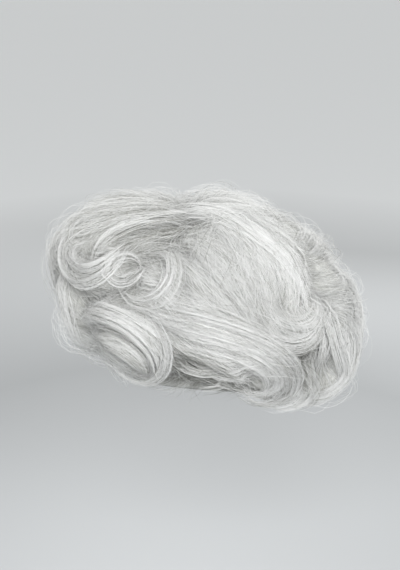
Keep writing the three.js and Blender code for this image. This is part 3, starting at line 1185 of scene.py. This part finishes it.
    def add(self, arrays: MeshArrays, paths: Paths) -> None:
        """Adds strands to a mesh: a three-sided profile carried along each path, closed at both ends.

        Args:
            arrays: The mesh that gets them.
            paths: The strands.
        """
        forward = np.gradient(paths.points, axis=1)
        side = unit(np.cross(forward, paths.out))
        up = unit(np.cross(side, forward))
        angles = np.arange(self.SIDES) * 2 * np.pi / self.SIDES + np.pi / 2
        ring = [np.cos(a) * side + np.sin(a) * up for a in angles]
        tube = np.stack([paths.points + paths.radius[..., None] * r for r in ring], axis=2)
        strands, rows = paths.points.shape[:2]
        first = (np.arange(strands) * rows * self.SIDES)[:, None, None]
        k = (np.arange(rows - 1) * self.SIDES)[None, :, None]
        i = np.arange(self.SIDES)[None, None, :]
        n = (i + 1) % self.SIDES
        corners = [first + k + i, first + k + self.SIDES + i, first + k + self.SIDES + n, first + k + n]
        quads = np.stack(np.broadcast_arrays(*corners), axis=-1).reshape(-1, 4)
        root = first[:, 0] + np.array([[0, 1, 2]])
        tip = first[:, 0] + (rows - 1) * self.SIDES + np.array([[2, 1, 0]])
        shades = np.broadcast_to(paths.shade[:, None, None], tube.shape[:3]).ravel()
        places = np.broadcast_to(paths.along[..., None], tube.shape[:3]).ravel()
        arrays.add(tube.reshape(-1, 3), quads, np.concatenate([root, tip]), shade=shades, along=places)


@dataclass(frozen=True)
class HairSection:
    """One section of hair over a patch of the cap: its mass and its strands.

    The patch lies between two azimuths and two elevations. With no lower elevation it ends at the wig's
    lower edge, which is lower on the inside, at the cap, than on the outside.
    """

    node: str
    azimuth: tuple[float, float]
    elevation: tuple[float | None, float]
    locks: tuple[Lock, ...]
    accents: tuple[Lock, ...]
    strands: dict[Fall, int]
    seed: int
    rolls: tuple[Lock, ...] = ()

    SEAT = 4.8
    STRAND_ROOM = 4.6
    HOOK = 8.0
    HEM = 0.8
    # Depths over which the mass takes on painted shade.
    SHADE_DEPTHS = (11.0, 23.0)
    SEAM = 0.3
    SPACING = 5.4
    MEAN_RADIUS = 130.0
    UNDER_SHARE = 0.7
    LOWER_OUTSIDE = (-20, -14, -10, -22, -36, -22, -10, -14)
    LOWER_INSIDE = (-27, -36, -44, -52, -58, -52, -44, -36)

    def lower_edge(self, azimuth: np.ndarray, values: tuple[float, ...]) -> np.ndarray:
        """The wig's lower edge: a smooth ring through evenly spaced values.

        Args:
            azimuth: Where to read it.
            values: Elevations round the head, from the face to the wearer's left and on round.

        Returns:
            The elevation of the edge at each azimuth.
        """
        ring = np.array(values, float)
        place = azimuth / (360 / len(ring))
        i = np.floor(place).astype(int)
        return smooth(*(ring[(i + n) % len(ring)] for n in (-1, 0, 1, 2)), place - i)

    def low(self, azimuth: np.ndarray, values: tuple[float, ...]) -> np.ndarray:
        """The patch's own lower edge: a level seam over another patch, or the wig's lower edge.

        Args:
            azimuth: Where to read it.
            values: The elevations of the wig's lower edge.

        Returns:
            The elevation of the edge at each azimuth.
        """
        if self.elevation[0] is None:
            return self.lower_edge(azimuth, values)
        return np.full_like(azimuth, self.elevation[0] + self.SEAM)

    def seeds(self, rng: np.random.Generator, count: int) -> np.ndarray:
        """Directions spread evenly over the patch: even in azimuth and in the sine of elevation.

        Args:
            rng: The source of random draws.
            count: How many directions.

        Returns:
            Unit directions, one row each.
        """
        azimuth = rng.uniform(*self.azimuth, count)
        outside, inside = self.low(azimuth, self.LOWER_OUTSIDE), self.low(azimuth, self.LOWER_INSIDE)
        bottom = np.sin(np.radians(outside + (inside - outside) * self.UNDER_SHARE))
        top = math.sin(math.radians(self.elevation[1]))
        rise = rng.uniform(0, 1, count)
        return direction(azimuth, np.degrees(np.arcsin(bottom + (top - bottom) * rise)))

    def underside(self, out: np.ndarray, hang: np.ndarray) -> tuple[np.ndarray, np.ndarray, np.ndarray]:
        """How the hair turns in under its lower edge.

        Args:
            out: Unit directions, one row each.
            hang: How far below the lower edge the turn begins, in degrees.

        Returns:
            The turn from 0 on the outside to 1 at the cap, the cap's height over the outline, and the
            degrees left above the lower edge of the inside.
        """
        azimuth, elevation = azimuth_elevation(out)
        edge = self.lower_edge(azimuth, self.LOWER_OUTSIDE) - hang
        inner = self.lower_edge(azimuth, self.LOWER_INSIDE)
        turn = ease((edge - elevation) / np.maximum(edge - inner, self.HOOK), 0, 1)
        centre = np.array(OUTLINE.centre)
        cap = np.linalg.norm(HEAD.seen_from(centre, out, self.SEAT) - centre, axis=1) - OUTLINE.radius(out)
        return turn, cap, elevation - inner

    def mass(self, relief: ReliefMap) -> bpy.types.Object:
        """The body of the section: a closed wall between the head and a surface a little under the relief.

        Below the lower edge the surface turns in to the cap.

        Args:
            relief: The height of the locks and how they are combed.

        Returns:
            The piece.
        """
        closed = self.azimuth[1] - self.azimuth[0] == 360
        pole = self.elevation[1] == 90
        seam = 0 if closed else self.SEAM
        reach = math.radians(self.MEAN_RADIUS) / self.SPACING
        columns = round((self.azimuth[1] - self.azimuth[0]) * reach)
        azimuth = np.linspace(self.azimuth[0] + seam, self.azimuth[1] - seam, columns + 1)
        azimuth = azimuth[:-1] if closed else azimuth
        top = 90.0 if pole else self.elevation[1] - self.SEAM
        low = self.low(azimuth, self.LOWER_INSIDE)[:, None]
        rows = round((top - low.min()) * reach)
        rise = np.linspace(0, 1, rows)[None, :]
        out = direction(azimuth[:, None], low + (top - low) * rise).reshape(-1, 3)
        turn, cap, _ = self.underside(out, np.zeros(len(out)))
        height = (relief.read(relief.height, out) - self.STRAND_ROOM) * (1 - turn) + (cap + self.HEM) * turn
        outside = OUTLINE.points(out, height)
        inside = HEAD.seen_from(np.array(OUTLINE.centre), out, self.SEAT)
        comb = np.tile(relief.read(relief.comb, out), (2, 1))
        # Painted shade: the mass darkens where it lies deep, and its inner wall against the head is fully
        # shaded; the sunk attribute carries it.
        sunk = np.concatenate([ease(-height, *self.SHADE_DEPTHS), np.ones(len(height))])
        arrays = MeshArrays()
        quads = wall_quads(len(azimuth), rows, closed, not pole)
        arrays.add(np.concatenate([outside, inside]), quads, NO_TRIANGLES, comb=comb, sunk=sunk)
        return welded(arrays.object(self.node.replace("_hair", "_mass")))

    def strand_piece(self, relief: ReliefMap) -> bpy.types.Object:
        """The strands of the section: those of its locks, shared out by area, and those between the locks.

        Args:
            relief: The height of the locks and the way the hair flows.

        Returns:
            The piece.
        """
        comb = StrandComb(self.seed, relief)
        arrays = MeshArrays()
        for fall, rows in ((Fall.LOCKED, self.locks), (Fall.ACCENT, self.accents)):
            areas = np.array([lock.width * lock.length for lock in rows])
            for lock, area in zip(rows, areas):
                count = round(self.strands[fall] * area / areas.sum())
                comb.add(arrays, comb.locked(LockGuide(lock), count, fall))
        for fall in (Fall.FLOWING, Fall.CROSSING, Fall.STRAY):
            comb.add(arrays, comb.flowing(self, self.strands[fall], fall))
        return arrays.object(self.node.replace("_hair", "_strands"))


def amounts(*counts: int) -> dict[Fall, int]:
    """How many strands of each fall a section has, in the order of the falls."""
    return dict(zip(Fall, counts, strict=True))


CROWN_ACCENTS = locks(
    (60, 78, 78, 142, -36, 0, 14, 14, 5, 2),
    (80, 80, 70, 150, -42, 0, 14, 14, 5, 2),
    (120, 84, 50, 150, -38, 0, 16, 14, 5, 2),
    (280, 76, -72, 150, 42, 0, 16, 14, 3, 0),
    (20, 74, -26, 140, 20, 0, 14, 14, 2, 1),
    (37, 58, 150, 195, -62, 0, 20, 14, 9, 2),
    (46, 60, 138, 190, -62, 0, 20, 14, 9, 2),
    (22, 60, 165, 195, -75, 0, 22, 14, 10, 2),
    (90, 62, -118, 116, 70, 0, 22, 14, 7, 1),
    (108, 68, -112, 132, 52, 0, 22, 14, 7, 1),
    (325, 66, -95, 100, 20, 0, 30, 14, 2, 1),
)
LEFT_ACCENTS = locks(
    (61, 44, 104, 104, -215, 0, 10, 13, 10, 5),
    (53, 38, 88, 112, -390, 0, 16, 8, 1, 0),
    (55, 34, 98, 50, -50, 0, 20, 8, 0, -1),
    (56, 27, 84, 48, 30, 0, 16, 8, 0, -1),
    (120, 21, 8, 92, 148, 0, 10, 13, 9, 5),
    (115, 16, 12, 104, 140, 0, 10, 13, 9, 5),
    (56, 18, 92, 268, -9, -172, 14, 13, 8, 4),
    (70, 13, 77, 180, 16, -172, 14, 13, 7, 3),
    (74, -4, 32, 80, 85, 0, 16, 10, -5, -6),
    (80, -7, 30, 66, 110, 0, 14, 10, -5, -6),
    (90, -9, 40, 60, 70, 0, 12, 10, -4, -6),
    (108, -18, -70, 40, 25, 0, 8, 8, 2, 0),
    (96, -13, 45, 42, 80, 0, 7, 6, -3, -3),
)
RIGHT_ACCENTS = tuple(lock.mirrored() for lock in LEFT_ACCENTS)
TEMPLE_ACCENTS = locks((61, 17, 86, 150, -195, 0, 12, 13, 9, 4))
FRINGE_ACCENTS = locks(
    (26, 41, -60, 140, 245, 0, 9, 12, 8, 4),
    (20, 35, 2, 104, 205, 0, 8, 12, 8, 4),
    (26, 37, -40, 84, 225, 0, 16, 12, 5, 1),
    (22, 33, -10, 52, 150, 0, 14, 12, 4, 1),
    (26, 34, 55, 46, 110, 0, 20, 8, 1, 0),
    (14, 45, -90, 100, 400, 0, 5, 6, 6, 5),
    (18, 41, -70, 74, 330, 0, 4, 5, 6, 4),
    (36, 8, 128, 120, -95, 0, 14, 13, 8, 4),
    (31, 2, 136, 165, -120, -90, 14, 13, 8, 4),
    (39, -4, 126, 94, -118, -48, 20, 13, 5, 1),
    (42, -2, 104, 78, -62, -60, 16, 13, 5, 2),
    (350, 30, 5, 140, -60, 60, 14, 13, 6, 3),
    (322, 28, -32, 130, 60, 60, 14, 13, 6, 3),
)
BACK_ACCENTS = locks(
    (172, 55, 100, 58, -40, 0, 26, 14, 13, -3),
    (162, 34, 120, 66, -48, 0, 26, 14, 14, -6),
    (156, 27, 112, 66, -48, 0, 26, 14, 14, -6),
    (153, 19, 104, 66, -48, 0, 26, 14, 13, -6),
    (151, 12, 95, 64, -48, 0, 26, 14, 11, -6),
    (155, 9, 50, 145, -120, -40, 16, 15, 9, 4),
    (156, 20, -34, 140, 100, 0, 20, 14, 8, 4),
    (151, 12, -20, 70, 20, 0, 20, 12, 3, -2),
    (159, 5, -25, 100, 70, 0, 22, 14, 8, 4),
    (168, 4, -12, 100, 45, 0, 24, 14, 8, 4),
    (176, 2, -8, 100, 30, 0, 22, 14, 7, 3),
    (215, 36, -112, 76, 30, 0, 26, 14, 10, 5),
    (221, 27, -106, 78, 30, 0, 26, 14, 9, 4),
    (224, 18, -100, 78, 30, 0, 26, 14, 8, 4),
)
NAPE_ACCENTS = locks(
    (142, -14, 20, 70, -90, 0, 16, 14, 6, 3),
    (190, -14, -20, 85, 90, 0, 16, 14, 6, 3),
)
SECTIONS = (
    HairSection(
        "crown_hair", (0, 360), (52, 90), CROWN_LOCKS, CROWN_ACCENTS,
        amounts(600, 420, 3000, 480, 500), 11,
    ),
    HairSection(
        "left_hair", (42, 128), (None, 52), LEFT_LOCKS, LEFT_ACCENTS + TEMPLE_ACCENTS,
        amounts(750, 500, 3200, 450, 150), 12, LEFT_ROLLS,
    ),
    HairSection(
        "right_hair", (232, 318), (None, 52), RIGHT_LOCKS, RIGHT_ACCENTS,
        amounts(450, 250, 1900, 300, 110), 13, RIGHT_ROLLS,
    ),
    HairSection(
        "fringe_hair", (-42, 42), (None, 52), FRINGE_LOCKS, FRINGE_ACCENTS,
        amounts(600, 730, 2400, 420, 380), 14, FRINGE_ROLLS,
    ),
    HairSection(
        "back_hair", (128, 232), (-9, 52), BACK_LOCKS, BACK_ACCENTS,
        amounts(350, 800, 2620, 350, 330), 15, BACK_ROLLS,
    ),
    HairSection(
        "nape_hair", (128, 232), (None, -9), NAPE_LOCKS, NAPE_ACCENTS,
        amounts(250, 100, 1600, 250, 100), 16,
    ),
)


@dataclass(frozen=True)
class Cap:
    """The net cap: an even wall over the head from the crown to its rim, with a rounded hem."""

    wall: float = 2.0
    columns: int = 72
    rows: int = 28
    rim: tuple[float, ...] = (70, 76, 98, 112, 98, 116, 126, 130)

    def piece(self) -> bpy.types.Object:
        """A wall between the head and the head grown by the wall's thickness, whose rim is a smooth curve.

        Its UV map lays the meridians out flat round the crown, each at its length in metres on a sphere.

        Returns:
            The piece.
        """
        azimuth = np.arange(self.columns) * 360 / self.columns
        place = np.abs(np.where(azimuth > 180, azimuth - 360, azimuth)) / 180 * (len(self.rim) - 1)
        i = np.minimum(place.astype(int), len(self.rim) - 2)
        ring = np.array(self.rim, float)
        at = [ring[np.clip(i + n, 0, len(ring) - 1)] for n in (-1, 0, 1, 2)]
        rim = smooth(*at, place - i)
        angle = rim[:, None] * np.linspace(1, 0, self.rows)[None, :]
        around = np.broadcast_to(azimuth[:, None], angle.shape)
        outer = HEAD.points(around, angle, self.wall)
        inner = HEAD.points(around, angle, 0.0)
        arrays = MeshArrays()
        quads = wall_quads(self.columns, self.rows, closed=True, top_open=False)
        arrays.add(np.concatenate([outer.reshape(-1, 3), inner.reshape(-1, 3)]), quads, NO_TRIANGLES)
        made = arrays.object("net_cap")
        corners = np.zeros(len(made.data.loops), np.int32)
        made.data.loops.foreach_get("vertex_index", corners)
        reach = np.radians(angle) * HEAD.half_height * MM
        flat = np.stack([reach * np.sin(np.radians(around)), reach * np.cos(np.radians(around))], axis=-1)
        flat = np.tile(flat.reshape(-1, 2), (2, 1))
        uv = made.data.uv_layers.new(name="net")
        uv.data.foreach_set("uv", flat[corners].astype(np.float32).ravel())
        return welded(made)


def set_facing(
    made: bpy.types.Object, target: Vector, azimuth: float, elevation: float, distance: float
) -> None:
    """Sets a camera or a lamp in the scene, turned to face a point.

    Args:
        made: What to set.
        target: The point, in metres.
        azimuth: The side it stands on, in degrees.
        elevation: Its angle above level, in degrees.
        distance: How far from the point it stands, in metres.
    """
    back = Vector(direction(np.array(azimuth), np.array(elevation)))
    made.location = target + back * distance
    made.rotation_euler = (-back).to_track_quat("-Z", "Y").to_euler()
    bpy.context.scene.collection.objects.link(made)


@dataclass(frozen=True)
class Floor:
    """A pale floor, in metres, with a painted shadow ring a little way off and painted light that makes it
    palest far away.
    """

    height: float = -0.42
    size: float = 40.0
    # Past the near tone: a painted shadow ring, then painted light that pales the floor far away.
    near_colour: Colour = (0.61, 0.63, 0.645)
    shadow_ring_colour: Colour = (0.42, 0.435, 0.445)
    far_painted_light_colour: Colour = (0.91, 0.935, 0.95)
    reach: float = 3.0
    near_share: float = 0.15
    shadow_ring_share: float = 0.27
    far_painted_light_share: float = 0.6
    mottle: float = 0.06
    mottle_scale: float = 1.5
    mottle_detail: float = 2.0
    roughness: float = 0.8

    def material(self) -> bpy.types.Material:
        """The distance from the middle gives the floor's painted light and shade, and noise makes it faintly
        uneven.

        Returns:
            The material.
        """
        material, nodes, shader = new_material("pale_floor")
        place = nodes.add("TexCoord").outputs["Object"]
        noise = nodes.add("TexNoise", Vector=place, Scale=self.mottle_scale, Detail=self.mottle_detail)
        away = nodes.add("VectorMath", {"operation": "LENGTH"}, Vector=place)
        share = nodes.math("DIVIDE", away.outputs["Value"], self.reach)
        tone = nodes.math("ADD", share, nodes.math("MULTIPLY", noise.outputs["Fac"], self.mottle))
        # Painted shadow in a ring a little way off, then painted light far away.
        colour = nodes.ramp(
            tone,
            (self.near_share, self.near_colour),
            (self.shadow_ring_share, self.shadow_ring_colour),
            (self.far_painted_light_share, self.far_painted_light_colour),
        )
        nodes.feed(shader, Base_Color=colour, Roughness=self.roughness)
        return material

    def lay(self) -> None:
        """Sets the floor in the scene as one flat square."""
        half = self.size / 2
        corners = [(x * half, y * half, self.height) for x, y in ((-1, -1), (1, -1), (1, 1), (-1, 1))]
        mesh = bpy.data.meshes.new("floor")
        mesh.from_pydata(corners, [], [(0, 1, 2, 3)])
        mesh.materials.append(self.material())
        floor = bpy.data.objects.new("floor", mesh)
        bpy.context.scene.collection.objects.link(floor)


@dataclass(frozen=True)
class Lamp:
    """A square lamp that faces the hair's centre, in degrees, metres and watts."""

    name: str
    azimuth: float
    elevation: float
    size: float
    power: float
    distance: float = 0.95

    def light(self) -> None:
        """Sets the lamp in the scene."""
        data = bpy.data.lights.new(self.name, "AREA")
        data.size = self.size
        data.energy = self.power
        lamp = bpy.data.objects.new(self.name, data)
        set_facing(lamp, Vector(OUTLINE.centre) * MM, self.azimuth, self.elevation, self.distance)


@dataclass(frozen=True)
class Studio:
    """The floor, soft light and the camera."""

    floor: Floor = Floor()
    lamps: tuple[Lamp, ...] = (Lamp("key", 98, 31, 0.6, 8.9), Lamp("fill", 262, 24, 0.9, 4.5))
    sky_colour: Colour = (0.97, 0.97, 0.96)
    sky_strength: float = 0.66
    look_at: tuple[float, float, float] = (-0.0187, 0.0094, -0.0453)
    azimuth: float = 94.0
    elevation: float = 22.0
    distance: float = 1.1
    focal_pixels: float = 1000.0
    frame_pixels: tuple[float, float] = (400.0, 570.0)
    sensor: float = 36.0

    def camera(self) -> None:
        """The camera at the viewing angle, looking at a point, with a lens given in pixels of the frame."""
        data = bpy.data.cameras.new("camera")
        data.sensor_fit = "AUTO"
        data.sensor_width = self.sensor
        data.lens = self.sensor * self.focal_pixels / max(self.frame_pixels)
        camera = bpy.data.objects.new("camera", data)
        set_facing(camera, Vector(self.look_at), self.azimuth, self.elevation, self.distance)
        bpy.context.scene.camera = camera

    def sky(self) -> None:
        """An even pale sky."""
        world = bpy.data.worlds.new("sky")
        world.use_nodes = True
        background = world.node_tree.nodes["Background"]
        background.inputs["Color"].default_value = (*self.sky_colour, 1)
        background.inputs["Strength"].default_value = self.sky_strength
        bpy.context.scene.world = world
        bpy.context.scene.view_settings.view_transform = "Standard"

    def build(self) -> None:
        """Sets the floor, the lights, the sky and the camera."""
        self.floor.lay()
        for lamp in self.lamps:
            lamp.light()
        self.sky()
        self.camera()


def dress(piece: bpy.types.Object, material: bpy.types.Material, slot: str, *nodes: str) -> None:
    """Gives a piece its material and body, and hides the nodes that it stands for.

    Args:
        piece: The piece.
        material: What it is made of.
        slot: The name of its material slot; not used.
        nodes: The nodes that it replaces, if any.
    """
    piece.data.materials.append(material)
    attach(piece, BODY)
    if nodes:
        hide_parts(*nodes)
    log.info("%s: %d faces", piece.name, len(piece.data.polygons))


def main() -> None:
    """Builds the studio, the cap and each section of hair."""
    logging.basicConfig(level=logging.INFO, format="%(name)s: %(message)s")
    Studio().build()
    dress(Cap().piece(), NetFinish().material(), "cap_net", "cap")
    tone = SilverTone().group()
    mass_finish = MassFinish().material(tone)
    strand_finish = StrandFinish().material(tone)
    guides = [LockGuide(lock) for section in SECTIONS for lock in section.locks]
    rolls = [LockGuide(lock) for section in SECTIONS for lock in section.rolls]
    relief = ReliefMap(guides, rolls, [LockGuide(lock) for section in SECTIONS for lock in section.accents])
    for section in SECTIONS:
        dress(section.mass(relief), mass_finish, "hair", section.node)
        dress(section.strand_piece(relief), strand_finish, "hair")


if __name__ == "__main__":
    main()
